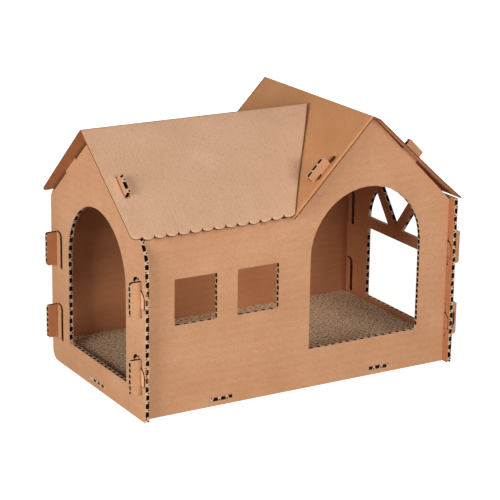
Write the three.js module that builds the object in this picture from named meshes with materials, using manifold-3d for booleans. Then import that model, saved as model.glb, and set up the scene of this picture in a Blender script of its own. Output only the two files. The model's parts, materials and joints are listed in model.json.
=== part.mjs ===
// Slot-together corrugated cardboard cat house: four wall boards, a floor board, a scratching pad
// and two folded roof sheets, held by tabs in slots and by sprung lock tongues, with no glue.
// Millimetres, +Z up, length along X, front face towards -Y, standing on Z = 0.
import * as THREE from "three";
import { mergeVertices } from "three/addons/utils/BufferGeometryUtils.js";
import Module from "manifold-3d";

const wasm = await Module();
wasm.setup();

// Driving sizes of the whole house
const houseLength = 600; // over the outer faces of the two end panels
const houseDepth = 350; // front edge to back edge of an end panel
const board = 7; // thick single-wall board of walls and floor
const roofBoard = 2.5; // thin board of the folded roofs
const seat = 0.3; // clearance between pieces that rest on each other
const overrun = 1; // how far a cutter passes the faces it cuts
const arcSteps = 20; // facets of an arch
const cornerSteps = 4; // facets of a small rounded corner

// Corner joint: how far a wall stands back from the end panels' edges, and its two end tabs
const finWidth = 15;
const tabReach = 18.5; // tab end beyond the end panel's outer face
const tabHeight = 58;
const tabFloorShares = { lower: 0.15182, upper: 0.58086 }; // of the height of the wall at the eave
const tabCornerRadius = 4;

// Slot of a corner joint, and the lock tongue beside it, seen on an end panel
const slotFrontPlay = 3.5; // room in front of the tab
const slotEndPlay = 1; // room above and below the tab
const tongueWidth = 13;
const slitWidth = 8; // free space that the tongue can spring into
const slitDrop = 3; // how far the slit runs on below the tongue's root
const slitRise = 3; // how far the slit rises above the slot
const tongueTopPlay = 3;
const tongueTopRadius = 9;
const toothFloorAboveTab = 14; // underside of the tooth above the underside of the tab
const toothHeight = 27;
const toothReach = 10.4; // tooth tip beyond the tab's outer face
const toothSlant = 7; // slanted upper corner of the tooth
const toothPlay = 1.2; // dark gap round the tooth in its notch
const toothHoleHeadroom = 3; // room above the tooth for the tongue's swing
const toothHoleSidePlay = 0.5;

// Floor board and its tabs
const floorHeight = 8; // underside of the floor board above the ground
const floorTabWidth = 41;
const floorTabFromLeft = 147; // to the middle of the left tab of the front and back walls
const floorTabFromRight = 141; // to the middle of the right tab
const endFloorTabWidth = 56;
const floorSlotPlay = 0.5;

// Scratching pad that lies on the floor board
const padHeight = 24.7;
const padMargin = 2; // from the walls round it
const padCornerRadius = 3;
const padFlutePitch = 31; // one open flute in six is in the solid
const padFluteWidth = 4.6;
const padFluteDepth = 7;

// Main roof: ridge along X over the end panel's gable
const mainRidgeHeight = 449; // outer face of the crease
const mainRiseShare = 0.84; // rise as a share of the run
const mainEaveInset = 3; // tips of the scallops, level, from the end panel's edge
const mainOverhang = 26; // past the left end panel, at the ridge
const mainEaveOverhang = 19; // past the left end panel, at the eave
const mainRidgeShort = 10; // from the end of the ridge to the cross roof
const scallopPitch = 21.1;
const firstCusp = -0.5; // first cusp between scallops
const scallopDepth = 5;
const eaveCornerRadius = 8;
const scallopSteps = 6;

// Cross roof: ridge along Y over the arched doorway
const gableShift = 3.5; // the ridge stands to the left of the doorway's middle
const crossRidgeLift = 10.5; // above the main ridge
const crossRiseShare = 1.03; // rise of the left leaf and the gables as a share of the run
const crossOverhang = 15; // past the outer faces of the front and back walls
const crossRightOverhang = 6; // lower edge of the right leaf past the right end panel
const crossBevelRun = 14; // narrow strip between the two creases at the ridge
const crossBevelDrop = 6.5;
const rightLeafShare = 0.8835; // rise of the right leaf, a little off the gable, to the left's
const rightGableShare = 0.961; // rise of the gable below the right leaf to the left's

// Wall under the main roof's eave
const eaveWallDrop = 11.6; // top of the wall below the outer face of the roof above it

// Roof tabs, measured down the slope from the peak
const roofTabLength = 37;
const mainTabStart = 101.5;
const mainTabReach = 10.5; // above the roof sheet
const mainTabPlay = 2;
const crossTabStart = 80; // from the gable's corner under the crease
const crossTabReach = 15;
const crossTabPlay = 3;
const hookTabStart = 104;
const hookNeckLength = 24;
const hookTabLength = 43;
const hookLift = 3; // underside of the hook above the sheet
const hookTabReach = 17;
const hookSlotStart = 90;
const hookSlotLength = 46.5;
const roofSlotSidePlay = 1;
const roofTabCornerRadius = 2.5;

// Openings of the front wall
const doorFromRight = 175.5; // middle of the doorway from the right end
const doorHalfWidth = 110;
const doorSill = 68;
const doorHeadDrop = 122.5; // top of the arch below the cross roof's ridge
const windowFromLeft = 60;
const windowPost = 38; // board between the two windows
const windowToDoor = 60.5; // board between the right window and the doorway
const windowHeadDrop = 74; // top of the windows below the top of the wall

// Doorway of the left end panel
const sideDoorJamb = 68; // board on each side
const sideDoorSill = 48;
const sideDoorHeadDrop = 135; // top of the arch below the ridge

// Fan-light and lower opening of the right end panel
const rightPanelDrop = 5.85; // top of the panel below the outer face of the roof above it
const fanJamb = 89; // board on each side
const fanHead = 16; // board over the arch
const fanSill = 48;
const fanBarDrop = 16; // underside of the bar below the spring of the arch
const fanBarHeight = 20;
const fanSpokeWidth = 20;
const fanSpokeLean = (53 * Math.PI) / 180; // from level
const fanBite = 6; // how far bar and spokes run into the board round the opening

const panelCornerRadius = 3;
const gableShoulderRadius = 14;

// Places worked out from the sizes above
const middle = houseDepth / 2;
const leftInner = board;
const rightInner = houseLength - board;
const wallLeft = leftInner + seat;
const wallRight = rightInner - seat;
const wallInner = finWidth + board; // inner face of the front wall
const mainPitch = Math.atan(mainRiseShare);
const crossPitch = Math.atan(crossRiseShare);
const underRoof = roofBoard + seat; // gable edge below the outer face of the sheet on it
const mainEaveRun = middle - mainEaveInset;
const crossRidgeHeight = mainRidgeHeight + crossRidgeLift;
const doorCentre = houseLength - doorFromRight;
const gableCentre = doorCentre - gableShift;
const gableToEnd = houseLength - gableCentre;
const mainRidgeEnd = gableCentre - crossRidgeLift / crossRiseShare - mainRidgeShort;
const crossRightRun = gableToEnd + crossRightOverhang;
const crossRightRiseShare = crossRiseShare * rightLeafShare;
const rightGableRise = crossRiseShare * rightGableShare;
const rightGablePitch = Math.atan(rightGableRise);
const eaveWallHeight = mainRidgeHeight - (middle - finWidth) * mainRiseShare - eaveWallDrop;
const tabFloors = {
  lower: eaveWallHeight * tabFloorShares.lower,
  upper: eaveWallHeight * tabFloorShares.upper,
};
const floorTabCentres = [floorTabFromLeft, houseLength - floorTabFromRight];
const doorSpring = crossRidgeHeight - doorHeadDrop - doorHalfWidth;
const doorStart = doorCentre - doorHalfWidth;
const windowSide = (doorStart - windowFromLeft - windowPost - windowToDoor) / 2;
const windowStarts = [windowFromLeft, windowFromLeft + windowSide + windowPost];
const windowSill = eaveWallHeight - windowHeadDrop - windowSide;
const sideDoorHalfWidth = middle - sideDoorJamb;
const sideDoorSpring = mainRidgeHeight - sideDoorHeadDrop - sideDoorHalfWidth;
const roofOverRightPanel =
  crossRidgeHeight - crossBevelDrop - (gableToEnd - crossBevelRun) * crossRightRiseShare;
const rightPanelHeight = roofOverRightPanel - rightPanelDrop;
const fanRadius = middle - fanJamb;
const fanSpring = rightPanelHeight - fanHead - fanRadius;
const fanBarFloor = fanSpring - fanBarDrop;
const footprintStart = -Math.max(mainOverhang, tabReach);
const footprintEnd = houseLength + tabReach;

// A closed solid from a three.js geometry
function solidOf(geometry) {
  const bare = geometry.clone();
  bare.deleteAttribute("normal");
  bare.deleteAttribute("uv");
  const merged = mergeVertices(bare);
  return new wasm.Manifold(
    new wasm.Mesh({
      numProp: 3,
      vertProperties: merged.attributes.position.array,
      triVerts: new Uint32Array(merged.index.array),
    }),
  );
}

// The geometry of a solid
function geometryOf(solid) {
  const mesh = solid.getMesh();
  const geometry = new THREE.BufferGeometry();
  geometry.setAttribute("position", new THREE.BufferAttribute(mesh.vertProperties, 3));
  geometry.setIndex(new THREE.BufferAttribute(mesh.triVerts, 1));
  geometry.computeVertexNormals();
  return geometry;
}

// Adds a run of corners to a path, each [x, y] or [x, y, radius], rounding those with a radius
function traceCorners(path, corners, closed) {
  const count = corners.length;
  corners.forEach(([x, y, radius = 0], i) => {
    const here = new THREE.Vector2(x, y);
    const before = new THREE.Vector2(...corners[(i + count - 1) % count].slice(0, 2));
    const after = new THREE.Vector2(...corners[(i + 1) % count].slice(0, 2));
    const start = before.sub(here).setLength(radius).add(here);
    const end = after.sub(here).setLength(radius).add(here);
    if (i === 0 && closed) path.moveTo(start.x, start.y);
    else path.lineTo(start.x, start.y);
    if (radius > 0) {
      const bend = new THREE.QuadraticBezierCurve(start, here, end);
      bend.getPoints(cornerSteps).slice(1).forEach((p) => path.lineTo(p.x, p.y));
    }
  });
}

function outlineOf(corners) {
  const shape = new THREE.Shape();
  traceCorners(shape, corners, true);
  return shape;
}

function rectangle(x0, y0, x1, y1, radius = 0) {
  return outlineOf([
    [x0, y0, radius],
    [x1, y0, radius],
    [x1, y1, radius],
    [x0, y1, radius],
  ]);
}

// An opening with a level sill, straight sides and a round head
function archOutline(centre, halfWidth, sill, spring) {
  const shape = new THREE.Shape();
  shape.moveTo(centre - halfWidth, sill);
  shape.lineTo(centre + halfWidth, sill);
  shape.lineTo(centre + halfWidth, spring);
  for (let i = 1; i <= arcSteps; i += 1) {
    const turn = (i / arcSteps) * Math.PI;
    shape.lineTo(centre + halfWidth * Math.cos(turn), spring + halfWidth * Math.sin(turn));
  }
  return shape;
}

function extrude(shape, thickness) {
  return new THREE.ExtrudeGeometry(shape, { depth: thickness, bevelEnabled: false });
}

// A piece of thick board with openings cut right through it
function boardWith(outline, openings) {
  return openings.reduce((whole, opening) => {
    const cutter = extrude(opening, board + overrun + overrun);
    cutter.translate(0, 0, -overrun);
    return whole.subtract(solidOf(cutter));
  }, solidOf(extrude(outline, board)));
}

// Turns a sheet drawn in X and Y so that it stands along X (wall) or along Y (end panel)
const wallTurn = new THREE.Matrix4().makeBasis(
  new THREE.Vector3(1, 0, 0),
  new THREE.Vector3(0, 0, 1),
  new THREE.Vector3(0, -1, 0),
);
const panelTurn = new THREE.Matrix4().makeBasis(
  new THREE.Vector3(0, 1, 0),
  new THREE.Vector3(0, 0, 1),
  new THREE.Vector3(1, 0, 0),
);

// Points at [down the slope, above the slope] from a peak, on the left (-1) or right (1) side
function onSlope(peak, pitch, side, points) {
  return points.map(([down, above, radius = 0]) => [
    peak[0] + side * (down * Math.cos(pitch) + above * Math.sin(pitch)),
    peak[1] - down * Math.sin(pitch) + above * Math.cos(pitch),
    radius,
  ]);
}

// A roof tab standing on a gable's edge, which runs below the outer face of the sheet
function plainTab(start, length, reach) {
  return [
    [start, -underRoof],
    [start, reach, roofTabCornerRadius],
    [start + length, reach, roofTabCornerRadius],
    [start + length, -underRoof],
  ];
}

// A roof tab whose lower end hooks over the sheet
function hookedTab() {
  return [
    [hookTabStart, -underRoof],
    [hookTabStart, hookTabReach, roofTabCornerRadius],
    [hookTabStart + hookTabLength, hookTabReach, roofTabCornerRadius],
    [hookTabStart + hookTabLength, hookLift, roofTabCornerRadius],
    [hookTabStart + hookNeckLength, hookLift],
    [hookTabStart + hookNeckLength, -underRoof],
  ];
}

// Side edge of a wall with its two tabs, from the bottom up
function tabbedSide(edge, tip) {
  return Object.values(tabFloors).flatMap((floor) => [
    [edge, floor],
    [tip, floor, tabCornerRadius],
    [tip, floor + tabHeight, tabCornerRadius],
    [edge, floor + tabHeight],
  ]);
}

// Hole in a wall's tab that the tongue's tooth passes through
function toothHole(panelStart, floor) {
  const holeFloor = floor + toothFloorAboveTab - toothPlay;
  return rectangle(
    panelStart - toothHoleSidePlay,
    holeFloor,
    panelStart + board + toothHoleSidePlay,
    holeFloor + toothPlay + toothHeight + toothHoleHeadroom,
  );
}

const crossRidge = [gableCentre, crossRidgeHeight];
const gablePeak = [gableCentre, crossRidgeHeight - underRoof / Math.cos(crossPitch)];
// The gable's corner under the crease of the right leaf
const gableBrow = [
  gableCentre + crossBevelRun,
  crossRidgeHeight - crossBevelDrop - underRoof * Math.hypot(1, crossRightRiseShare),
];
// Start of a sheet that would lie on the gable to the right of that corner
const rightSlopeTop = [
  gableBrow[0] + underRoof * Math.sin(rightGablePitch),
  gableBrow[1] + underRoof * Math.cos(rightGablePitch),
];

// Outline shared by the front and the back wall
function wallOutline() {
  const eaveEnd = gableCentre - (gablePeak[1] - eaveWallHeight) / crossRiseShare;
  const rightTop = gableBrow[1] - (wallRight - gableBrow[0]) * rightGableRise;
  const rightSide = tabbedSide(wallRight, houseLength + tabReach);
  const leftSide = tabbedSide(wallLeft, -tabReach).reverse();
  const rightTabReach = crossTabReach + liftOfRightLeaf(crossTabStart + roofTabLength / 2);
  const rightTab = plainTab(crossTabStart, roofTabLength, rightTabReach).reverse();
  const shape = outlineOf([
    [wallLeft, 0],
    [wallRight, 0],
    ...rightSide,
    [wallRight, rightTop],
    ...onSlope(rightSlopeTop, rightGablePitch, 1, rightTab),
    gableBrow,
    gablePeak,
    ...onSlope(crossRidge, crossPitch, -1, hookedTab()),
    [eaveEnd, eaveWallHeight],
    [wallLeft, eaveWallHeight],
    ...leftSide,
  ]);
  return shape;
}

// Slot for a tab of the floor board
function floorSlot(centre, width) {
  const half = width / 2 + floorSlotPlay;
  const top = floorHeight + board + floorSlotPlay;
  return rectangle(centre - half, floorHeight - seat, centre + half, top);
}

// Slots and tooth holes shared by the front and the back wall
function wallOpenings() {
  return [
    ...floorTabCentres.map((centre) => floorSlot(centre, floorTabWidth)),
    ...Object.values(tabFloors).flatMap((floor) => [
      toothHole(0, floor),
      toothHole(rightInner, floor),
    ]),
  ];
}

// How far the right leaf of the cross roof stands above a sheet that would lie on the gable
function liftOfRightLeaf(down) {
  const run = down * Math.cos(rightGablePitch);
  return run * (rightGableRise - crossRightRiseShare) * Math.cos(rightGablePitch);
}

function frontWallGeometry() {
  const windows = windowStarts.map((start) =>
    rectangle(start, windowSill, start + windowSide, windowSill + windowSide),
  );
  const doorway = archOutline(doorCentre, doorHalfWidth, doorSill, doorSpring);
  return geometryOf(boardWith(wallOutline(), [...wallOpenings(), ...windows, doorway]));
}

function backWallGeometry() {
  return geometryOf(boardWith(wallOutline(), wallOpenings()));
}

// Distance from an end panel's edge to the tongue, and its height range
const tongueNear = wallInner + seat;
const tongueFar = tongueNear + tongueWidth;

function tongueFloor(floor) {
  return floor - slotEndPlay;
}

function slitTop(floor) {
  return floor + tabHeight + slotEndPlay + slitRise;
}

function tongueTop(floor) {
  return slitTop(floor) - tongueTopPlay;
}

// Mirrors corners drawn from the front edge of an end panel to its back edge
function fromEdge(corners, atBack) {
  return atBack ? corners.map(([u, z, r]) => [houseDepth - u, z, r]).reverse() : corners;
}

// Slot, tooth notch and slit of one lock, as one opening that the tongue stands in
function lockOpening(floor, atBack) {
  const slotStart = finWidth - slotFrontPlay;
  const slotTop = floor + tabHeight + slotEndPlay;
  const slotFloor = tongueFloor(floor);
  const notchFloor = floor + toothFloorAboveTab - toothPlay;
  const notchTop = floor + toothFloorAboveTab + toothHeight + toothHoleHeadroom;
  const notchDepth = finWidth - toothReach - toothPlay;
  const slitEnd = tongueFar + slitWidth;
  const corners = [
    [slotStart, slotFloor],
    [tongueFar, slotFloor],
    [tongueFar, slotFloor - slitDrop],
    [slitEnd, slotFloor - slitDrop],
    [slitEnd, slitTop(floor), tongueTopRadius + slitWidth / 2],
    [tongueNear, slitTop(floor)],
    [tongueNear, slotTop],
    [slotStart, slotTop],
    [slotStart, notchTop],
    [notchDepth, notchTop - toothSlant, toothSlant / 2],
    [notchDepth, notchFloor],
    [slotStart, notchFloor],
  ];
  return outlineOf(fromEdge(corners, atBack));
}

// One lock tongue with its tooth, rooted on the board below it
function tongueGeometry(floor, atBack) {
  const toothFloor = floor + toothFloorAboveTab;
  const tip = finWidth - toothReach;
  const corners = [
    [tongueNear, tongueFloor(floor) + seat],
    [tongueFar, tongueFloor(floor) + seat],
    [tongueFar, tongueTop(floor), tongueTopRadius],
    [tongueNear, tongueTop(floor)],
    [tongueNear, toothFloor + toothHeight],
    [tip + toothSlant, toothFloor + toothHeight],
    [tip, toothFloor + toothHeight - toothSlant, toothSlant / 2],
    [tip, toothFloor],
    [tongueNear, toothFloor],
  ];
  return extrude(outlineOf(fromEdge(corners, atBack)), board);
}

// Lock openings and floor slot shared by the two end panels
function panelOpenings() {
  return [
    floorSlot(middle, endFloorTabWidth),
    ...Object.values(tabFloors).flatMap((floor) => [
      lockOpening(floor, false),
      lockOpening(floor, true),
    ]),
  ];
}

// Left end panel: a gable with two roof tabs and an arched doorway
function leftPanelGeometry() {
  const ridge = [middle, mainRidgeHeight];
  const peak = [middle, mainRidgeHeight - underRoof / Math.cos(mainPitch)];
  const shoulder = peak[1] - middle * mainRiseShare;
  const tab = plainTab(mainTabStart, roofTabLength, mainTabReach);
  const outline = outlineOf([
    [0, 0, panelCornerRadius],
    [houseDepth, 0, panelCornerRadius],
    [houseDepth, shoulder, gableShoulderRadius],
    ...onSlope(ridge, mainPitch, 1, [...tab].reverse()),
    peak,
    ...onSlope(ridge, mainPitch, -1, tab),
    [0, shoulder, gableShoulderRadius],
  ]);
  const doorway = archOutline(middle, sideDoorHalfWidth, sideDoorSill, sideDoorSpring);
  return geometryOf(boardWith(outline, [...panelOpenings(), doorway]));
}

// Bar and two leaning spokes of the fan-light, as one piece of board in the arch
function fanBars() {
  const barMiddle = fanBarFloor + fanBarHeight / 2;
  const reach = fanRadius + fanBite;
  const bar = solidOf(
    extrude(
      rectangle(middle - reach, fanBarFloor, middle + reach, fanBarFloor + fanBarHeight),
      board,
    ),
  );
  const spokeLength = fanSpring - barMiddle + reach;
  return [fanSpokeLean, Math.PI - fanSpokeLean].reduce((whole, lean) => {
    const spoke = extrude(
      rectangle(0, -fanSpokeWidth / 2, spokeLength, fanSpokeWidth / 2),
      board,
    );
    spoke.rotateZ(lean);
    spoke.translate(middle, barMiddle, 0);
    return whole.add(solidOf(spoke));
  }, bar);
}

// Right end panel: level top, and an arched opening with a fan-light over a bar
function rightPanelGeometry() {
  const outline = rectangle(0, 0, houseDepth, rightPanelHeight, panelCornerRadius);
  const opening = archOutline(middle, fanRadius, fanSill, fanSpring);
  return geometryOf(boardWith(outline, [...panelOpenings(), opening]).add(fanBars()));
}

// Floor board with two tabs at the front and back and one at each end
function floorGeometry() {
  const left = wallLeft;
  const right = wallRight;
  const front = wallInner + seat;
  const back = houseDepth - front;
  const halfTab = floorTabWidth / 2;
  const halfEnd = endFloorTabWidth / 2;
  const tabsAlong = (y, tip, centres, side) =>
    centres.flatMap((centre) => [
      [centre - side * halfTab, y],
      [centre - side * halfTab, tip],
      [centre + side * halfTab, tip],
      [centre + side * halfTab, y],
    ]);
  const shape = outlineOf([
    [left, front],
    ...tabsAlong(front, finWidth, floorTabCentres, 1),
    [right, front],
    [right, middle - halfEnd],
    [houseLength, middle - halfEnd],
    [houseLength, middle + halfEnd],
    [right, middle + halfEnd],
    [right, back],
    ...tabsAlong(back, houseDepth - finWidth, [...floorTabCentres].reverse(), -1),
    [left, back],
    [left, middle + halfEnd],
    [0, middle + halfEnd],
    [0, middle - halfEnd],
    [left, middle - halfEnd],
  ]);
  return extrude(shape, board);
}

// A pad of strips packed on edge, with open flutes along its top
function padGeometry() {
  const left = leftInner + padMargin;
  const right = rightInner - padMargin;
  const front = wallInner + padMargin;
  const back = houseDepth - wallInner - padMargin;
  const block = extrude(rectangle(left, front, right, back, padCornerRadius), padHeight);
  const fluteCount = Math.round((back - front) / padFlutePitch) - 1;
  const firstFlute = (front + back - (fluteCount - 1) * padFlutePitch) / 2;
  let pad = solidOf(block);
  for (let i = 0; i < fluteCount; i += 1) {
    const near = firstFlute + i * padFlutePitch - padFluteWidth / 2;
    const flute = extrude(
      rectangle(left - overrun, near, right + overrun, near + padFluteWidth),
      padFluteDepth + overrun,
    );
    flute.translate(0, 0, padHeight - padFluteDepth);
    pad = pad.subtract(solidOf(flute));
  }
  return geometryOf(pad);
}

// Where the main roof's eave meets the left leaf of the cross roof
const eaveTip = mainRidgeHeight - mainEaveRun * mainRiseShare;
const eaveUnderside = eaveTip - underRoof / Math.cos(mainPitch);
const valleyEnd = gableCentre - (crossRidgeHeight - eaveUnderside) / crossRiseShare;

const mainSlopeLength = mainEaveRun / Math.cos(mainPitch);

// Outline of a main roof leaf in [along the ridge, down the slope], with its scalloped eave
function mainLeafOutline() {
  const cuspLine = mainSlopeLength - scallopDepth;
  const scallopCount = Math.ceil((mainRidgeEnd - firstCusp) / scallopPitch);
  const shape = new THREE.Shape();
  traceCorners(
    shape,
    [
      [-mainOverhang, -overrun],
      [-mainEaveOverhang, mainSlopeLength, eaveCornerRadius],
      [firstCusp - scallopDepth, mainSlopeLength, scallopDepth],
      [firstCusp, cuspLine],
    ],
    true,
  );
  for (let i = 0; i < scallopCount; i += 1) {
    for (let k = 1; k <= scallopSteps; k += 1) {
      const turn = (k / scallopSteps) * Math.PI;
      const along = firstCusp + scallopPitch * (i + (1 - Math.cos(turn)) / 2);
      shape.lineTo(along, cuspLine + scallopDepth * Math.sin(turn));
    }
  }
  shape.lineTo(firstCusp + scallopPitch * scallopCount, -overrun);
  return shape;
}

// A main roof sheet cut through along the valley
function mainSheetSolid() {
  const depth = roofBoard + overrun + overrun;
  const slopeOfCut = (mainRidgeEnd - valleyEnd) / mainSlopeLength;
  const beyond = mainSlopeLength + overrun;
  const farEnd = mainRidgeEnd + scallopPitch + overrun + overrun;
  const cutter = extrude(
    outlineOf([
      [mainRidgeEnd + overrun * slopeOfCut + overrun * slopeOfCut, -overrun - overrun],
      [farEnd, -overrun - overrun],
      [farEnd, beyond],
      [valleyEnd - overrun * slopeOfCut, beyond],
    ]),
    depth,
  );
  cutter.translate(0, 0, -roofBoard - overrun);
  const sheet = extrude(mainLeafOutline(), roofBoard);
  sheet.translate(0, 0, -roofBoard);
  return solidOf(sheet).subtract(solidOf(cutter));
}

// A main roof leaf in [along the ridge, down the slope, above the slope], mitred at the ridge
function mainLeafSolid() {
  const mitreRun = (roofBoard + overrun) * Math.tan(mainPitch);
  const mitre = extrude(
    outlineOf([
      [seat / 2 - overrun * Math.tan(mainPitch), overrun],
      [seat / 2 + mitreRun, -roofBoard - overrun],
      [-overrun - overrun, -roofBoard - overrun],
      [-overrun - overrun, overrun],
    ]),
    mainOverhang + mainRidgeEnd + overrun + overrun,
  );
  mitre.applyMatrix4(panelTurn);
  mitre.translate(-mainOverhang - overrun, 0, 0);
  const slot = extrude(
    rectangle(
      -roofSlotSidePlay,
      mainTabStart - mainTabPlay,
      board + roofSlotSidePlay,
      mainTabStart + roofTabLength + mainTabPlay,
    ),
    roofBoard + overrun + overrun,
  );
  slot.translate(0, 0, -roofBoard - overrun);
  return mainSheetSolid().subtract(solidOf(mitre)).subtract(solidOf(slot));
}

// Turns a leaf down from the ridge, towards the front (-1) or the back (1)
function mainLeafGeometry(side) {
  const geometry = geometryOf(mainLeafSolid());
  const down = new THREE.Vector3(0, side * Math.cos(mainPitch), -Math.sin(mainPitch));
  const above = new THREE.Vector3(0, side * Math.sin(mainPitch), Math.cos(mainPitch));
  const turn = new THREE.Matrix4().makeBasis(new THREE.Vector3(1, 0, 0), down, above);
  geometry.applyMatrix4(turn);
  geometry.translate(0, middle, mainRidgeHeight);
  if (turn.determinant() < 0) {
    const corners = geometry.index.array;
    for (let i = 0; i < corners.length; i += 3) {
      [corners[i], corners[i + 1]] = [corners[i + 1], corners[i]];
    }
  }
  return geometry;
}

const crossStart = finWidth - crossOverhang;
const crossLength = houseDepth - crossStart - crossStart;

// A slot through a cross roof leaf at both gables, square to the gable line
function cutCrossSlots(leaf, side, start, length) {
  const depth = crossRightRun * (crossRiseShare - crossRightRiseShare) + crossBevelRun;
  const top = side > 0 ? rightSlopeTop : crossRidge;
  const corners = onSlope(top, side > 0 ? rightGablePitch : crossPitch, side, [
    [start, -depth],
    [start + length, -depth],
    [start + length, depth],
    [start, depth],
  ]);
  const outline = outlineOf(side > 0 ? corners : corners.reverse());
  return [wallInner, houseDepth - finWidth].reduce((whole, wallFace) => {
    const slot = extrude(outline, board + roofSlotSidePlay + roofSlotSidePlay);
    slot.applyMatrix4(wallTurn);
    slot.translate(0, wallFace + roofSlotSidePlay, 0);
    return whole.subtract(solidOf(slot));
  }, leaf);
}

function crossLeaf(corners, side, slotStart, slotLength) {
  const sheet = extrude(outlineOf(corners), crossLength);
  sheet.applyMatrix4(wallTurn);
  sheet.translate(0, crossStart + crossLength, 0);
  return geometryOf(cutCrossSlots(solidOf(sheet), side, slotStart, slotLength));
}

// Left leaf of the cross roof, from the ridge down to the end of the wall's gable
function crossLeftGeometry() {
  const ridge = crossRidgeHeight;
  const thick = roofBoard / Math.cos(crossPitch);
  const mitre = seat / 2;
  const lowEnd = gableCentre - (ridge - thick - eaveWallHeight - seat) / crossRiseShare;
  const cut = roofBoard * Math.sin(crossPitch);
  const lowTop = ridge - (gableCentre - lowEnd + cut) * crossRiseShare;
  const corners = [
    [gableCentre - mitre, ridge - mitre * crossRiseShare],
    [lowEnd - cut, lowTop],
    [lowEnd, ridge - thick - (gableCentre - lowEnd) * crossRiseShare],
    [gableCentre - mitre, ridge - thick - mitre * crossRiseShare],
  ];
  return crossLeaf(corners, -1, hookSlotStart, hookSlotLength);
}

// Right leaf of the cross roof: a narrow strip between two creases, then the slope
function crossRightGeometry() {
  const ridge = crossRidgeHeight;
  const bevelRise = crossBevelDrop / crossBevelRun;
  const bevelThick = roofBoard * Math.hypot(1, bevelRise);
  const slopeThick = roofBoard * Math.hypot(1, crossRightRiseShare);
  const creaseTop = ridge - crossBevelDrop;
  const lowTop = creaseTop - (crossRightRun - crossBevelRun) * crossRightRiseShare;
  // Where the undersides of the strip and of the slope meet
  const inner = crossBevelRun - (slopeThick - bevelThick) / (crossRightRiseShare - bevelRise);
  const innerTop = ridge - inner * bevelRise - bevelThick;
  const cut = roofBoard * Math.sin(Math.atan(crossRightRiseShare));
  const lowRun = crossRightRun - cut;
  const mitre = seat / 2;
  const corners = [
    [gableCentre + mitre, ridge - mitre * bevelRise],
    [gableCentre + mitre, ridge - mitre * bevelRise - bevelThick],
    [gableCentre + inner, innerTop],
    [
      gableCentre + lowRun,
      creaseTop - (lowRun - crossBevelRun) * crossRightRiseShare - slopeThick,
    ],
    [gableCentre + crossRightRun, lowTop],
    [gableCentre + crossBevelRun, creaseTop],
  ];
  const slotStart = crossTabStart - crossTabPlay;
  return crossLeaf(corners, 1, slotStart, roofTabLength + crossTabPlay + crossTabPlay);
}

// Finishes: kraft liner of the walls, of the roofs, and the cut edges of the pad
const wallKraft = { color: 0xcd9b73, roughness: 0.86, metalness: 0 };
const roofKraft = { color: 0xc89c79, roughness: 0.84, metalness: 0 };
const padKraft = { color: 0x9a7653, roughness: 0.95, metalness: 0 };

const house = new THREE.Group();
house.position.x = -(footprintStart + footprintEnd) / 2;
house.position.y = -middle;

function addPiece(name, geometry, finish, place = [0, 0, 0], turn = null) {
  const mesh = new THREE.Mesh(geometry, new THREE.MeshStandardMaterial(finish));
  mesh.name = name;
  if (turn) mesh.quaternion.setFromRotationMatrix(turn);
  mesh.position.set(...place);
  house.add(mesh);
}

addPiece("left_end_panel", leftPanelGeometry(), wallKraft, [0, 0, 0], panelTurn);
addPiece("right_end_panel", rightPanelGeometry(), wallKraft, [rightInner, 0, 0], panelTurn);
addPiece("front_wall", frontWallGeometry(), wallKraft, [0, wallInner, 0], wallTurn);
const backPlace = [0, houseDepth - finWidth, 0];
addPiece("back_wall", backWallGeometry(), wallKraft, backPlace, wallTurn);
addPiece("floor_board", floorGeometry(), wallKraft, [0, 0, floorHeight]);
addPiece("scratch_pad", padGeometry(), padKraft, [0, 0, floorHeight + board + seat]);
addPiece("main_roof_front_leaf", mainLeafGeometry(-1), roofKraft);
addPiece("main_roof_rear_leaf", mainLeafGeometry(1), roofKraft);
addPiece("cross_roof_left_leaf", crossLeftGeometry(), roofKraft);
addPiece("cross_roof_right_leaf", crossRightGeometry(), roofKraft);

// Eight lock tongues, one beside each slot of the two end panels
for (const [end, panelStart] of Object.entries({ left: 0, right: rightInner })) {
  for (const [edge, atBack] of Object.entries({ front: false, back: true })) {
    for (const [level, floor] of Object.entries(tabFloors)) {
      const name = `lock_tongue_${end}_${edge}_${level}`;
      addPiece(name, tongueGeometry(floor, atBack), wallKraft, [panelStart, 0, 0], panelTurn);
    }
  }
}

export default house;
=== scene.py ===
import json
import math

import bmesh
import bpy
import numpy as np
from mathutils import Matrix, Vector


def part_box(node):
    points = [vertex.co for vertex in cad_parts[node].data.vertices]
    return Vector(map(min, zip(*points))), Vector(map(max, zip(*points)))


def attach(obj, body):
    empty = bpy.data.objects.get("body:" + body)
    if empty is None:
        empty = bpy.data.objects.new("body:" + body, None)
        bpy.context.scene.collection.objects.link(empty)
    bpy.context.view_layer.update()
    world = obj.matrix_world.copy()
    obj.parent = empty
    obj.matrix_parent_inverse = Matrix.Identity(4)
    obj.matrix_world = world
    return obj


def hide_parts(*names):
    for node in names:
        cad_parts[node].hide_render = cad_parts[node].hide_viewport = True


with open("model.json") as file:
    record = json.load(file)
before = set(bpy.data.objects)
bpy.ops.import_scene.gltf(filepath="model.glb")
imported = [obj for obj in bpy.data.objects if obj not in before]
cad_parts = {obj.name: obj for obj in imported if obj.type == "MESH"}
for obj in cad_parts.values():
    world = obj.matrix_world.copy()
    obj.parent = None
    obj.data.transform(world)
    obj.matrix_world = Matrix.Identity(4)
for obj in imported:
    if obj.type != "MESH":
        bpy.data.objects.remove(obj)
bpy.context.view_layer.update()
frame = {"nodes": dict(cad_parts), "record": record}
cadNodes = frame["nodes"]
bodies = frame["record"]["behaviour"]["bodies"]
bodyOf = {node: body for body, nodes in bodies.items() for node in nodes}
mm = 0.001
perMetre = 1000  # millimetres
axisX, axisY, axisZ = 0, 1, 2


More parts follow.
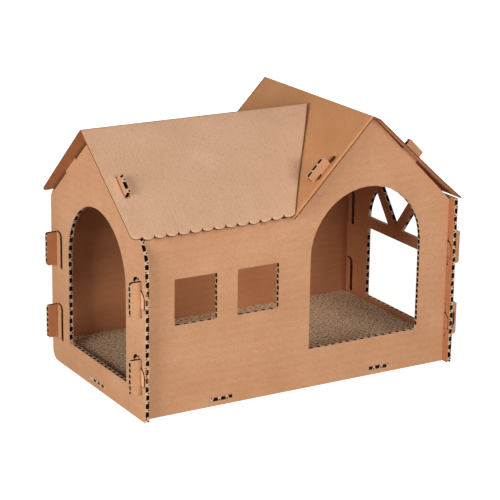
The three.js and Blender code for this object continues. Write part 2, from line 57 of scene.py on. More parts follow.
# Matrix that stands an object at a spot, with the directions of its own x, y and z
def placing(x, y, z, spot):
    turn = np.eye(4)
    turn[:3] = np.column_stack([x, y, z, spot])
    return Matrix(turn.tolist())


# Camera at the photograph's angle, from a fit to corners and edges of the boards, in metres and radians
cameraSet = dict(
    focalPixels=1934.876,  # focal length in pixels of the square picture
    picture=500,
    sensor=36.0,
    sight=60.0,  # past the far edge of the floor
    yaw=0.533460371,  # to the right of straight on
    pitch=0.297322501,  # downwards
    roll=0.0147284376,
    aim=(0.00375, 0.025, 0.2),
    aside=-0.0061585277,  # of the aim point from the middle of the picture
    above=0.00601404397,
    distance=3.34618334,
)


def addCamera(look):
    yaw, pitch, roll = look["yaw"], look["pitch"], look["roll"]
    ahead = np.array([math.sin(yaw) * math.cos(pitch), math.cos(yaw) * math.cos(pitch), -math.sin(pitch)])
    level = np.array([math.cos(yaw), -math.sin(yaw), 0.0])
    upright = np.cross(level, ahead)
    right = math.cos(roll) * level + math.sin(roll) * upright
    up = math.cos(roll) * upright - math.sin(roll) * level
    spot = np.array(look["aim"]) - look["aside"] * right - look["above"] * up - look["distance"] * ahead
    data = bpy.data.cameras.new("photoCamera")
    data.sensor_width = look["sensor"]
    data.lens = look["focalPixels"] / look["picture"] * look["sensor"]
    data.clip_end = look["sight"]
    camera = bpy.data.objects.new("photoCamera", data)
    camera.matrix_world = placing(right, up, -ahead, spot)
    bpy.context.scene.collection.objects.link(camera)
    bpy.context.scene.camera = camera


addCamera(cameraSet)
bpy.context.scene.view_settings.view_transform = "Standard"
print("camera placed")


# sRGB hex value to linear red, green, blue and alpha
def linear(code):
    parts = [int(code[i : i + 2], 16) / 255 for i in (1, 3, 5)]
    return tuple(p / 12.92 if p <= 0.04045 else ((p + 0.055) / 1.055) ** 2.4 for p in parts) + (1.0,)


# A node with its settings. values gives, by input name or number, a value or the output to link
def add(tree, kind, values=(), **settings):
    made = tree.nodes.new(kind)
    for name, value in settings.items():
        setattr(made, name, value)
    for name, value in dict(values).items():
        if isinstance(value, bpy.types.NodeSocket):
            tree.links.new(value, made.inputs[name])
        else:
            made.inputs[name].default_value = value
    return made


# Three stops of a Color Ramp node, from the places and the sRGB hex values of a look
def paintRamp(ramp, look):
    elements = ramp.color_ramp.elements
    elements.new(look["stops"][1])
    for element, place, tone in zip(elements, look["stops"], ("shade", "colour", "light")):
        element.position = place
        element.color = linear(look[tone])


def newMaterial(name, look):
    material = bpy.data.materials.new(name)
    material.use_nodes = True
    shader = material.node_tree.nodes["Principled BSDF"]
    shader.inputs["Roughness"].default_value = look["roughness"]
    shader.inputs["Specular IOR Level"].default_value = look["specular"]
    return material, material.node_tree, shader


# Kraft liner of corrugated board, unbleached and uncoated: cloudy brown and dull, with fibres, small darker
# flecks and the faint ribs of the flutes below it, in relief and as a faint painted shade in the colour
def kraftPaper(name, look):
    material, tree, shader = newMaterial(name, look)
    place = add(tree, "ShaderNodeTexCoord").outputs["Object"]
    inMm = add(tree, "ShaderNodeMapping", {"Vector": place, "Scale": [perMetre] * 3}).outputs[0]
    fibreScale = [perMetre / size for size in look["fibreSize"]]
    along = add(tree, "ShaderNodeMapping", {"Vector": place, "Scale": fibreScale}).outputs[0]
    clouds = add(tree, "ShaderNodeTexNoise", {"Vector": inMm, "Scale": 1 / look["cloudSize"], "Detail": 3.0})
    mottle = add(tree, "ShaderNodeTexNoise",
                 {"Vector": inMm, "Scale": 1 / look["mottleSize"], "Detail": 4.0, "Roughness": 0.65})
    fibres = add(tree, "ShaderNodeTexNoise", {"Vector": along, "Scale": 1.0, "Detail": 3.0, "Roughness": 0.6})
    # the bands of a Wave texture at scale s lie pi / (10 s) apart
    ribs = add(tree, "ShaderNodeTexWave",
               {"Vector": inMm, "Scale": math.pi / 10 / look["ribPitch"], "Distortion": 0.5, "Detail": 1.0,
                "Detail Scale": 0.05}, bands_direction=look["ribAxis"])
    share = {0: clouds.outputs["Fac"], 1: look["cloudPart"]}
    tone = add(tree, "ShaderNodeMath", share, operation="MULTIPLY")
    for source, part in ((mottle, "mottlePart"), (fibres, "fibrePart"), (ribs, "ribPart")):
        share = {0: source.outputs["Fac"], 1: look[part], 2: tone.outputs[0]}
        tone = add(tree, "ShaderNodeMath", share, operation="MULTIPLY_ADD")
    ramp = add(tree, "ShaderNodeValToRGB", {"Fac": tone.outputs[0]})
    paintRamp(ramp, look)
    flecks = add(tree, "ShaderNodeTexNoise", {"Vector": inMm, "Scale": 1 / look["fleckSize"], "Detail": 1.0})
    mask = add(tree, "ShaderNodeMapRange",
               {"Value": flecks.outputs["Fac"], "From Min": look["fleckFrom"],
                "From Max": look["fleckFrom"] + look["fleckBlur"], "To Max": look["fleckPart"]})
    paper = add(tree, "ShaderNodeMix",
                {0: mask.outputs[0], 6: ramp.outputs["Color"], 7: linear(look["fleck"])}, data_type="RGBA")
    tree.links.new(paper.outputs[2], shader.inputs["Base Color"])
    # most of the mottling lies between 0.3 and 0.7
    rough = add(tree, "ShaderNodeMapRange",
                {"Value": mottle.outputs["Fac"], "From Min": 0.3, "From Max": 0.7,
                 "To Min": look["roughness"] - look["roughSpread"],
                 "To Max": look["roughness"] + look["roughSpread"]})
    tree.links.new(rough.outputs[0], shader.inputs["Roughness"])
    heights = {0: ribs.outputs["Fac"], 1: look["ribRelief"], 2: fibres.outputs["Fac"]}
    relief = add(tree, "ShaderNodeMath", heights, operation="MULTIPLY_ADD")
    bump = add(tree, "ShaderNodeBump",
               {"Height": relief.outputs[0], "Strength": look["bump"], "Distance": look["bumpHeight"]})
    tree.links.new(bump.outputs[0], shader.inputs["Normal"])
    return material


# Paper cut by a die: torn fibres that lie open, so it is uneven in tone and has no gloss
def cutPaper(name, look):
    material, tree, shader = newMaterial(name, look)
    place = add(tree, "ShaderNodeTexCoord").outputs["Object"]
    inMm = add(tree, "ShaderNodeMapping", {"Vector": place, "Scale": [perMetre] * 3}).outputs[0]
    torn = add(tree, "ShaderNodeTexNoise",
               {"Vector": inMm, "Scale": 1 / look["tornSize"], "Detail": 3.0, "Roughness": 0.7})
    ramp = add(tree, "ShaderNodeValToRGB", {"Fac": torn.outputs["Fac"]})
    paintRamp(ramp, look)
    tree.links.new(ramp.outputs["Color"], shader.inputs["Base Color"])
    bump = add(tree, "ShaderNodeBump",
               {"Height": torn.outputs["Fac"], "Strength": look["bump"], "Distance": look["bumpHeight"]})
    tree.links.new(bump.outputs[0], shader.inputs["Normal"])
    return material


# Sizes in mm. A real fibre is about 0.03 mm wide and 2 mm long, too fine to show, so the fibres and the
# mottling that they make are drawn coarser. The ribs have the pitch of the end panels' flutes
kraftLook = dict(
    colour="#cc9a75", shade="#c18e69", light="#d7a783", stops=(0.32, 0.50, 0.68),
    fleck="#a87a58", fleckSize=2.2, fleckFrom=0.64, fleckBlur=0.06, fleckPart=0.5,
    cloudSize=70.0, mottleSize=3.0, cloudPart=0.42, mottlePart=0.30, fibrePart=0.26, ribPart=0.03,
    fibreSize=(10.0, 10.0, 1.7), ribPitch=14.5, ribAxis="Z", ribRelief=1.4,
    roughness=0.86, roughSpread=0.05, specular=0.25, bump=0.5, bumpHeight=0.25 * mm,
)
thinKraftLook = dict(kraftLook, ribPitch=7.2, ribRelief=0.4)  # thin board has finer flutes
# The tufts of a torn edge are about 0.5 mm, drawn coarser so that they show
cutLook = dict(
    colour="#d8b698", shade="#c09a78", light="#ebd2b8", stops=(0.35, 0.52, 0.68),
    tornSize=2.4, roughness=0.93, specular=0.15, bump=0.5, bumpHeight=0.5 * mm,
)

# Outer liner of walls and end panels: warm mid brown, its fibres and ribs level
wallKraft = kraftPaper("kraftLinerWalls", kraftLook)
# The same liner for the floor board, its fibres and ribs from front to back
floorKraft = kraftPaper("kraftLinerFloor", dict(kraftLook, fibreSize=(1.7, 10.0, 10.0), ribAxis="X"))
# Liner of the main roof's thin board: paler and greyer, a painted sheen of the white light that grazes the
# slope, with finer ribs down the slope
roofKraftSheen = kraftPaper("kraftLinerMainRoofSheen",
                       dict(thinKraftLook, fibreSize=(1.7, 10.0, 10.0), ribAxis="X",
                            colour="#ddb394", shade="#d3a787", light="#e6bfa1"))
# Inner liner of every board: darker and redder than the outer one
insideKraft = kraftPaper("kraftLinerInside",
                         dict(kraftLook, colour="#bb7d56", shade="#ae714b", light="#c78a62", ribRelief=0.4))
# Liner of the cross roof's thin board: more orange, a painted tint of the warm light that bounces into this
# dimly lit slope, with finer ribs down the slope
crossKraftShaded = kraftPaper("kraftLinerCrossRoofShaded",
                        dict(thinKraftLook, fibreSize=(10.0, 1.7, 10.0), ribAxis="Y",
                             colour="#d09566", shade="#c48a5d", light="#da9f71"))
# Cut edges of the thick boards: paler than the liners, so that they outline each board
cutEdge = cutPaper("dieCutEdge", cutLook)
# Teeth of the locks: pale paper, a painted highlight where the tooth catches more light than the panel around
# it
toothHighlight = cutPaper("toothPaintedHighlight", dict(cutLook, colour="#e2b690", shade="#d2a47d", light="#efcaa8"))
# Cut faces of slits and lock tongues: dark, as hardly any light comes between the boards
slitEdge = cutPaper("dieCutSlit", dict(cutLook, colour="#54301d", shade="#3f2415", light="#6e4429"))
# Cut edges of the thin boards: a darker line, painted shade that stands for their open flutes, which are too
# fine to tell apart
thinCutEdge = cutPaper("dieCutEdgeRoof",
                       dict(cutLook, colour="#7d5539", shade="#5f3d27", light="#9b7250", tornSize=3.2))
# Fluting paper inside the channels, sunk openings and recesses: darkened far below its real brown as painted
# shade, the dark of a narrow tube
fluting = cutPaper("flutingPaintedShade",
                   dict(cutLook, colour="#3f2416", shade="#301a0f", light="#54331f", tornSize=3.0))
print("materials made")


# Mesh from an array of points and a list of faces, with the material number of each face
def newObject(name, points, faces, slots=None, materials=()):
    mesh = bpy.data.meshes.new(name)
    mesh.from_pydata(np.asarray(points, float).tolist(), [], [list(f) for f in faces])
    for material in materials:
        mesh.materials.append(material)
    if slots is not None:
        mesh.polygons.foreach_set("material_index", np.asarray(slots, np.int32))
    mesh.update()
    piece = bpy.data.objects.new(name, mesh)
    bpy.context.scene.collection.objects.link(piece)
    return piece


# Merges doubles, points within a thousandth of a millimetre, and turns the faces of a closed mesh outwards
def turnOutwards(piece):
    work = bmesh.new()
    work.from_mesh(piece.data)
    bmesh.ops.remove_doubles(work, verts=work.verts, dist=0.001 * mm)
    bmesh.ops.recalc_face_normals(work, faces=work.faces)
    work.to_mesh(piece.data)
    work.free()
    return piece


# The piece less another, or united with it, still one closed mesh. Faces that come from the other, which is
# used up, keep its material
def combine(piece, other, operation="DIFFERENCE"):
    change = piece.modifiers.new("combine", "BOOLEAN")
    change.operation = operation
    change.solver = "MANIFOLD"
    change.material_mode = "TRANSFER"
    change.object = other
    graph = bpy.context.evaluated_depsgraph_get()
    mesh = bpy.data.meshes.new_from_object(piece.evaluated_get(graph), depsgraph=graph)
    before, otherMesh = piece.data, other.data
    piece.modifiers.clear()
    piece.data = mesh
    mesh.name = piece.name
    bpy.data.meshes.remove(before)
    bpy.data.objects.remove(other)
    bpy.data.meshes.remove(otherMesh)
    return piece


# Straight prisms in one mesh: each outline, a loop of points on the first two axes, carried along the third
# axis from its start to its end
def prisms(name, outlines, starts, ends, axes, material):
    outlines = np.asarray(outlines, float)
    count, size = outlines.shape[:2]
    points = np.zeros((count, 2, size, 3))
    points[:, :, :, axes[0]] = outlines[:, None, :, 0]
    points[:, :, :, axes[1]] = outlines[:, None, :, 1]
    points[:, 0, :, axes[2]] = np.asarray(starts, float)[:, None]
    points[:, 1, :, axes[2]] = np.asarray(ends, float)[:, None]
    base = (np.arange(count) * 2 * size)[:, None]
    ring = np.arange(size)
    after = (ring + 1) % size
    sides = np.stack([base + ring, base + after, base + size + after, base + size + ring], -1).reshape(-1, 4)
    caps = np.concatenate([base + ring[::-1], base + size + ring])
    a, b = outlines[0, :, 0], outlines[0, :, 1]
    area = np.sum(a * np.roll(b, -1) - np.roll(a, -1) * b)
    if area * np.linalg.det(np.eye(3)[list(axes)]) < 0:
        sides, caps = sides[:, ::-1], caps[:, ::-1]
    return newObject(name, points.reshape(-1, 3), sides.tolist() + caps.tolist(), None, [material])


# Thick single-wall boards: outlines from the CAD, with the flutes cut through as open channels
boardSet = dict(
    thick=7.0 * mm,
    liner=0.25 * mm,
    web=0.1 * mm,  # half the thickness of the fluting paper
    rise=3.15 * mm,  # of the wave, from its middle
    profilePoints=9,
    square=4.0,  # how flat the tops of the waves are
    smallDepth=0.45,  # share of its depth that a channel pressed by the die keeps
    crush=0.12,  # how much lower a channel may be
    narrow=0.2,  # how much narrower it may be
    flip=0.4,  # how often a channel shows at the other liner
    seed=11,
    guard=0.45,  # of a wave: a channel nearer than this to an edge beside it stops short of that edge
    clear=4.0,  # mm by which it stops short
    dotStart=0.3,  # of a pitch, from the end of an edge to the first opening in it
    dotDepth=2.5,  # mm
)
# Length of the wave and the middle of one channel in mm, and half a channel's opening as a share of the wave.
# bias makes the crests longer than the troughs. Every second channel is pressed nearly shut
endFlutes = dict(wave=14.5, start=0.0, opening=0.36, bias=0.45, pressed=0.09)
wallFlutes = dict(wave=9.75, start=-0.125, opening=0.43, bias=0.85, pressed=0.03)
# Openings that the photo shows in some edges that run with the flutes, in mm
sillDots = dict(length=6.5, width=5.6, pitch=14.5)
endDashes = dict(length=8.4, width=4.4, pitch=14.5)
# From and to along the board, in mm
endDoorway = (-107, 107)
fanLightBar = (-90, 90)
leftWindow = (-236.25, -158.25)
rightWindow = (-120.25, -42.25)
frontDoorway = (18.25, 238.25)
floorTab = (-28, 28)
# For each board the axes through it, along its channels and across them, and the side of its inner liner.
# Each edge runs with the flutes, at a height or place in mm, and free is the side to which its openings show
boardCuts = dict(
    left_end_panel=dict(axes=(axisX, axisY, axisZ), inside=1, **endFlutes,
                        edges=[dict(at=48, span=endDoorway, dots=endDashes, free=1)]),
    right_end_panel=dict(axes=(axisX, axisY, axisZ), inside=-1, **endFlutes,
                         edges=[dict(at=48, span=endDoorway, dots=endDashes, free=1),
                                dict(at=199, span=fanLightBar),
                                dict(at=179, span=fanLightBar)]),
    front_wall=dict(axes=(axisY, axisX, axisZ), inside=1, **wallFlutes,
                    edges=[dict(at=151, span=leftWindow, dots=sillDots, free=1),
                           dict(at=151, span=rightWindow, dots=sillDots, free=1),
                           dict(at=229, span=leftWindow),
                           dict(at=229, span=rightWindow),
                           dict(at=68, span=frontDoorway, dots=sillDots, free=1)]),
    back_wall=dict(axes=(axisY, axisX, axisZ), inside=-1, **wallFlutes, edges=[]),
    floor_board=dict(axes=(axisZ, axisY, axisX), inside=1, **endFlutes,
                     edges=[dict(at=-296.25, span=floorTab, dots=endDashes, free=-1),
                            dict(at=303.75, span=floorTab, dots=endDashes, free=1)]),
)
# The lock tongues are cut from the end panels and get no channels
for side in ("left", "right"):
    for end in ("front", "back"):
        for level in ("lower", "upper"):
            tongue = dict(boardCuts[side + "_end_panel"], edges=[], plain=True)
            boardCuts[f"lock_tongue_{side}_{end}_{level}"] = tongue


# The space between liners and fluting. The fluting runs at
# thick / 2 + rise * tanh(square * (bias + cos(2 pi w / wave))),
# and each channel lies between it and the liner on one side
def fluteChannels(name, low, high, cuts, look):
    across, along, wavy = cuts["axes"]
    wave, start = cuts["wave"] * mm, cuts["start"] * mm
    rng = np.random.default_rng(look["seed"])
    half = wave / 2
    lowest, highest = (low[wavy] - wave) / half, (high[wavy] + wave) / half
    numbers = np.arange(math.floor(lowest), math.ceil(highest) + 1)
    chance = rng.random((3, len(numbers)))
    wide = numbers % 2 == 0
    opening = np.where(wide, cuts["opening"], cuts["pressed"]) * (1 - look["narrow"] * chance[0])
    height = np.where(wide, 1.0, look["smallDepth"]) * (1 - look["crush"] * chance[1])
    flipped = (numbers % 2 == 1) ^ (chance[2] < look["flip"])
    u = np.linspace(-1, 1, look["profilePoints"]) * opening[:, None] * wave
    angle = 2 * math.pi * u / wave
    crest = look["rise"] * np.tanh(look["square"] * (cuts["bias"] + np.cos(angle)))
    web = look["thick"] / 2 + crest - look["web"]
    top = look["liner"] + (web - look["liner"]) * height[:, None]
    w = start + numbers[:, None] * half + u
    flat = np.full((len(numbers), 2), look["liner"])
    loops = np.stack([np.concatenate([w, w[:, -1:], w[:, :1]], 1), np.concatenate([top, flat], 1)], -1)
    loops[flipped, :, 1] = look["thick"] - loops[flipped, :, 1]
    loops[flipped] = loops[flipped, ::-1]
    loops[:, :, 1] += low[across]
    begin, finish = low[along] - mm, high[along] + mm
    reach = look["guard"] * wave
    runs = []
    for number, loop in zip(numbers, loops):
        middle = start + number * half
        near = [edge["span"] for edge in cuts["edges"] if abs(middle - edge["at"] * mm) < reach]
        spot = begin
        for first, last in sorted(near):
            if (first - look["clear"]) * mm > spot:
                runs.append((loop, spot, (first - look["clear"]) * mm))
            spot = (last + look["clear"]) * mm
        if finish > spot:
            runs.append((loop, spot, finish))
    outlines, starts, ends = zip(*runs)
    return prisms(name, outlines, starts, ends, (wavy, across, along), fluting)


# Openings along an edge that runs with the flutes: boxes sunk into the edge, their faces in the painted shade
# of the fluting
def edgeDots(name, low, cuts, edge, look):
    across, along, wavy = cuts["axes"]
    first, last = edge["span"]
    length, width, pitch = edge["dots"]["length"], edge["dots"]["width"], edge["dots"]["pitch"]
    spots = np.arange(first + pitch * look["dotStart"], last - length, pitch) * mm
    middle = low[across] + look["thick"] / 2
    side = width / 2 * mm
    inner, outer = (edge["at"] - look["dotDepth"] * edge["free"]) * mm, (edge["at"] + edge["free"]) * mm
    loop = [[inner, middle - side], [outer, middle - side], [outer, middle + side], [inner, middle + side]]
    return prisms(name, [loop] * len(spots), spots, spots + length * mm, (wavy, across, along), fluting)


# Corners and edges worn or cut otherwise than in the CAD, in mm: depth from the outer face, which is the low
# one of these boards, or right through, the paper laid bare, which in slits and recesses is painted shade and
# on the lock teeth a painted highlight, and the outline in the board's plane
through = 0
lockPitch = 130  # from a lower lock to the upper one
boardTrims = dict(
    left_end_panel=[
        # rounded lower back corner
        (through, cutEdge, [(176.0, -1.0), (176.0, 19.0), (174.9, 18.0), (173.6, 11.1), (169.7, 5.3),
                            (163.9, 1.4), (157.0, 0.1), (156.0, -1.0)]),
        # gap below the rear slope of the roof, on both sides of the roof tab
        (through, slitEdge, [(8.0, 438.9), (74.0, 383.4), (74.0, 378.4), (8.0, 433.9)]),
        (through, slitEdge, [(112.0, 351.5), (163.0, 308.7), (163.0, 303.7), (112.0, 346.5)]),
        # front shoulder, up to the eave
        (through, cutEdge, [(-177.0, 238.0), (-174.4, 240.0), (-173.9, 252.0), (-173.2, 264.0),
                            (-172.0, 273.7), (-169.3, 281.1), (-165.3, 288.2), (-158.9, 297.8),
                            (-153.8, 304.0), (-147.0, 313.0), (-140.0, 323.0), (-136.0, 331.0),
                            (-136.0, 335.0), (-177.0, 335.0)]),
        # cuts beside the two front locks
        (through, slitEdge, [(-173.6, 189.5), (-170.9, 189.5), (-170.9, 210.5), (-173.6, 208.0)]),
        (through, slitEdge, [(-173.6, 59.5), (-170.9, 59.5), (-170.9, 80.5), (-173.6, 78.0)]),
    ],
    front_wall=[
        # recesses in the right end tabs: shallow, with painted shade on the bared fluting and on the cut
        # faces
        (0.4, fluting, [(304.9, 59.0), (314.0, 59.0), (314.0, 88.0), (304.9, 88.0)]),
        (0.4, slitEdge, [(314.4, 59.0), (319.0, 59.0), (319.0, 84.0), (316.6, 87.5), (314.4, 88.0)]),
        (0.4, slitEdge, [(304.9, 191.0), (314.6, 191.0), (315.4, 192.0), (315.4, 209.0),
                         (312.6, 212.0), (304.9, 212.5)]),
    ],
)
for level, foot in (("lower", 0), ("upper", lockPitch)):
    boardTrims[f"lock_tongue_left_front_{level}"] = [
        (through, slitEdge, [(-171.5, foot + 59.0), (-169.0, foot + 59.0), (-169.0, foot + 78.0),
                             (-166.0, foot + 82.0), (-162.0, foot + 86.3), (-163.4, foot + 88.0),
                             (-171.5, foot + 83.0)]),
        # face of the tooth, a shallow patch with the painted highlight
        (0.2, toothHighlight, [(-172.0, foot + 58.0), (-155.5, foot + 58.0), (-155.5, foot + 90.0),
                           (-172.0, foot + 90.0)]),
    ]


# A copy of the CAD's board in its own papers, with its trims, channels and dots
def boardPiece(node, cuts, look):
    across, along, wavy = cuts["axes"]
    low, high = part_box(node)
    mesh = cadNodes[node].data.copy()
    mesh.materials.clear()
    # the rims of the lock tongues take the painted shade of the slits
    rimPaper = slitEdge if node.startswith("lock_tongue") else cutEdge
    for material in (floorKraft if across == axisZ else wallKraft, rimPaper, insideKraft):
        mesh.materials.append(material)
    piece = bpy.data.objects.new(node + "_board", mesh)
    bpy.context.scene.collection.objects.link(piece)
    turnOutwards(piece)
    normals = np.zeros(len(piece.data.polygons) * 3)
    piece.data.polygons.foreach_get("normal", normals)
    # which way each face looks: 1 on the inner liner, about 0 on the rim and -1 on the outer liner
    facing = normals.reshape(-1, 3)[:, across] * cuts["inside"]
    kinds = np.where(facing > 0.5, 2, (facing > -0.5).astype(np.int32))
    piece.data.polygons.foreach_set("material_index", kinds)
    piece.data.polygons.foreach_set("use_smooth", np.zeros(len(facing), bool))
    for number, (depth, paper, outline) in enumerate(boardTrims.get(node, [])):
        finish = high[across] + mm if depth == through else low[across] + depth * mm
        combine(piece, prisms(f"{node}_trim{number}", [np.array(outline) * mm], [low[across] - mm], [finish],
                              (along, wavy, across), paper))
    if not cuts.get("plain"):
        combine(piece, fluteChannels(node + "_flutes", low, high, cuts, look))
    for number, edge in enumerate(cuts["edges"]):
        if "dots" in edge:
            combine(piece, edgeDots(f"{node}_dots{number}", low, cuts, edge, look))
    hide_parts(node)
    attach(piece, bodyOf[node])
    return piece


for node, cuts in boardCuts.items():
    made = boardPiece(node, cuts, boardSet)
    print("board", made.name, len(made.data.polygons), "faces", [m.name for m in made.data.materials])


# A sheet from two grids of points, its upper and lower face, closed by a rim along the four sides
def closedSheet(name, top, bottom, materials):
    rows, columns = top.shape[:2]
    points = np.concatenate([top.reshape(-1, 3), bottom.reshape(-1, 3)])
    number = np.arange(rows * columns).reshape(rows, columns)
    corners = [number[:-1, :-1], number[1:, :-1], number[1:, 1:], number[:-1, 1:]]
    upper = np.stack(corners, -1).reshape(-1, 4)
    lower = upper[:, ::-1] + rows * columns
    edge = np.concatenate([number[0, :-1], number[:-1, -1], number[-1, :0:-1], number[:0:-1, 0]])
    after = np.roll(edge, -1)
    rim = np.stack([edge, after, after + rows * columns, edge + rows * columns], -1)
    faces = np.concatenate([upper, lower, rim])
    slots = np.repeat([0, 2, 1], [len(upper), len(lower), len(rim)])
    return turnOutwards(newObject(name, points, faces.tolist(), slots, materials))


# Shades the sheet's two faces smooth and its rim flat, and puts it in the place of the CAD's leaf
def finishRoof(piece, node):
    kinds = np.zeros(len(piece.data.polygons), np.int32)
    piece.data.polygons.foreach_get("material_index", kinds)
    piece.data.polygons.foreach_set("use_smooth", kinds != 1)
    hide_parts(node)
    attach(piece, bodyOf[node])
    print("roof", piece.name, len(piece.data.polygons), "faces")
    return piece


# Main roof, in mm: thin board folded at the ridge, with a scalloped eave, its right end lying over the valley
mainRoofSet = dict(
    ridge=448.95,  # height of the crease
    rise=0.84,  # of the slope, for each mm out
    slopeLength=223.6,
    thick=2.5,
    seam=0.11,  # half the gap at the crease
    left=(-322.214, -315.214),  # left edge at the crease and at the eave
    # each leaf: its side, its lift at the eave, and its right edge, places down the slope and along the ridge
    front=dict(side=-1, lift=6.6,
               valley=[(0, 105.0), (25.1, 91.3), (65, 69.0), (94.6, 51.5), (137.9, 25.2), (169.7, 6.9),
                       (199.2, -10.1), (226.6, -25.5)]),
    rear=dict(side=1, lift=0.0, valley=[(0, 104.5), (75, 59.9), (150, 15.2), (224.6, -29.3)]),
    liftFrom=80.0,  # below this the right end rises over the cross roof
    liftPower=1.8,
    curl=34.0,  # how far from the edge the lift dies out
    curlPower=1.5,
    firstCusp=-296.75,
    scallopPitch=21.1,
    scallopDepth=8.0,
    plainDepth=0.45,  # of the scallops' depth, how far the plain end before them comes down
    cornerRadius=8.0,
    cornerPoints=7,
    leadPoints=6,  # on the short arc before the first cusp
    nearest=0.3,  # that another point may lie to the eave's right end
    columnsPerScallop=8,
    rows=48,
    creaseRows=(0, 0.004, 0.009, 0.016),  # shares of the slope, close together at the crease
    evenFrom=0.03,  # share at which the evenly spaced rows begin
    rounding=0.9,  # of the crease on the upper face
    roundingRun=1.8,
    mitre=2.3,  # by which the lower face starts further down
    mitreRun=4.0,
    wave=0.9,  # unevenness of the sheet
    waveAlong=47.0,
    waveDown=90.0,
    calm=60.0,  # how far beside the slot the sheet lies flat
    slot=(-297.25, -288.25, 99.5, 140.5),  # from and to along the ridge, from and to down the slope
    slotReach=5.0,  # of the slot's cutter, above and below the upper face
)


# The eave as places along the ridge and down the slope: a round corner, a plain end and an arc up to the
# first cusp, then scallops. On a scallop: end = length - depth + depth * sin(turn), with turn from 0 to pi
def eaveLine(rightEave, look):
    length, depth, gap = look["slopeLength"], look["scallopDepth"], look["scallopPitch"]
    leftEave, first, corner = look["left"][1], look["firstCusp"], look["cornerRadius"]
    rounded = leftEave + corner * (1 - np.cos(np.linspace(0, math.pi / 2, look["cornerPoints"])))
    plain = np.append(rounded, (leftEave + corner + first - depth) / 2)
    lead = first - depth * np.cos(np.linspace(0, math.pi / 2, look["leadPoints"]))
    count = int((rightEave - first) / gap) + 1
    turn = np.linspace(0, math.pi, look["columnsPerScallop"] + 1)[1:]
    lobes = (first + gap * (np.arange(count)[:, None] + (1 - np.cos(turn)) / 2)).ravel()
    eave = np.concatenate([plain, lead, lobes])
    eave = np.append(eave[eave < rightEave - look["nearest"]], rightEave)
    phase = np.mod(eave - first, gap) / gap
    lobeEnd = length - depth + depth * np.sin(np.arccos(np.clip(1 - 2 * phase, -1, 1)))
    fromLead = np.clip(depth**2 - (eave - (first - depth)) ** 2, 0, None)
    leadEnd = length - depth + look["plainDepth"] * np.sqrt(fromLead)
    fromCorner = np.clip(leftEave + corner - eave, 0, corner)
    cornerEnd = corner - np.sqrt(np.clip(corner**2 - fromCorner**2, 0, None))
    plainEnd = length - (1 - look["plainDepth"]) * depth - cornerEnd
    return eave, np.where(eave < first - depth, plainEnd, np.where(eave <= first, leadEnd, lobeEnd))


# Point at v down the slope and x along the ridge: ridge + x * along + v * down + lift * above. The right
# edge is the cubic curve nearest to the valley's points. The lift over the cross roof grows with a power of
# the way down and fades from the edge with exp(-(distance / curl)^curlPower). A slow sine wave is added to it
def mainRoofLeaf(node, leaf, look):
    pitch = math.atan(look["rise"])
    down = np.array([0, leaf["side"] * math.cos(pitch), -math.sin(pitch)])
    above = np.array([0, leaf["side"] * math.sin(pitch), math.cos(pitch)])
    length, leftEave = look["slopeLength"], look["left"][1]
    edge = np.polyfit(*np.array(leaf["valley"], float).T, 3)
    rightEave = np.polyval(edge, length)
    eave, end = eaveLine(rightEave, look)
    share = (eave - leftEave) / (rightEave - leftEave)
    evenRows = np.linspace(look["evenFrom"], 1, look["rows"] - len(look["creaseRows"]))
    v = np.concatenate([look["creaseRows"], evenRows])[:, None] * end
    leftAt = np.interp(v, [0, length], look["left"])
    rightAt = np.polyval(edge, v)
    xs = leftAt + share * (rightAt - leftAt)
    climb = np.clip((v - look["liftFrom"]) / (length - look["liftFrom"]), 0, None) ** look["liftPower"]
    fade = np.exp(-(np.clip((rightAt - xs) / look["curl"], 0, None) ** look["curlPower"]))
    calm = 1 - np.exp(-(((xs - look["slot"][0]) / look["calm"]) ** 2))
    slow = 0.5 + 0.5 * np.sin(xs / look["waveAlong"] + v / look["waveDown"])
    uneven = look["wave"] * calm * np.sin(math.pi * np.clip(v / length, 0, 1)) * slow
    lift = leaf["lift"] * climb * fade + uneven
    ridge = np.array([0, 0, look["ridge"]])

    def surface(vv, height):
        sloping = (vv + look["seam"])[..., None] * down
        return (ridge + xs[..., None] * np.array([1.0, 0, 0]) + sloping + height[..., None] * above) * mm

    top = surface(v, lift - look["rounding"] * np.exp(-v / look["roundingRun"]))
    bottom = surface(v + look["mitre"] * np.exp(-v / look["mitreRun"]), lift - look["thick"])
    piece = closedSheet(node + "_sheet", top, bottom, [roofKraftSheen, thinCutEdge, insideKraft])
    x0, x1, v0, v1 = look["slot"]
    reach = look["slotReach"]
    corners = np.array([(v0, -reach), (v1, -reach), (v1, reach), (v0, reach)], float)
    loop = (ridge + corners[:, :1] * down + corners[:, 1:] * above)[:, 1:] * mm
    combine(piece, prisms(node + "_slot", [loop], [x0 * mm], [x1 * mm], (axisY, axisZ, axisX), thinCutEdge))
    return finishRoof(piece, node)


mainRoofLeaf("main_roof_front_leaf", mainRoofSet["front"], mainRoofSet)
mainRoofLeaf("main_roof_rear_leaf", mainRoofSet["rear"], mainRoofSet)


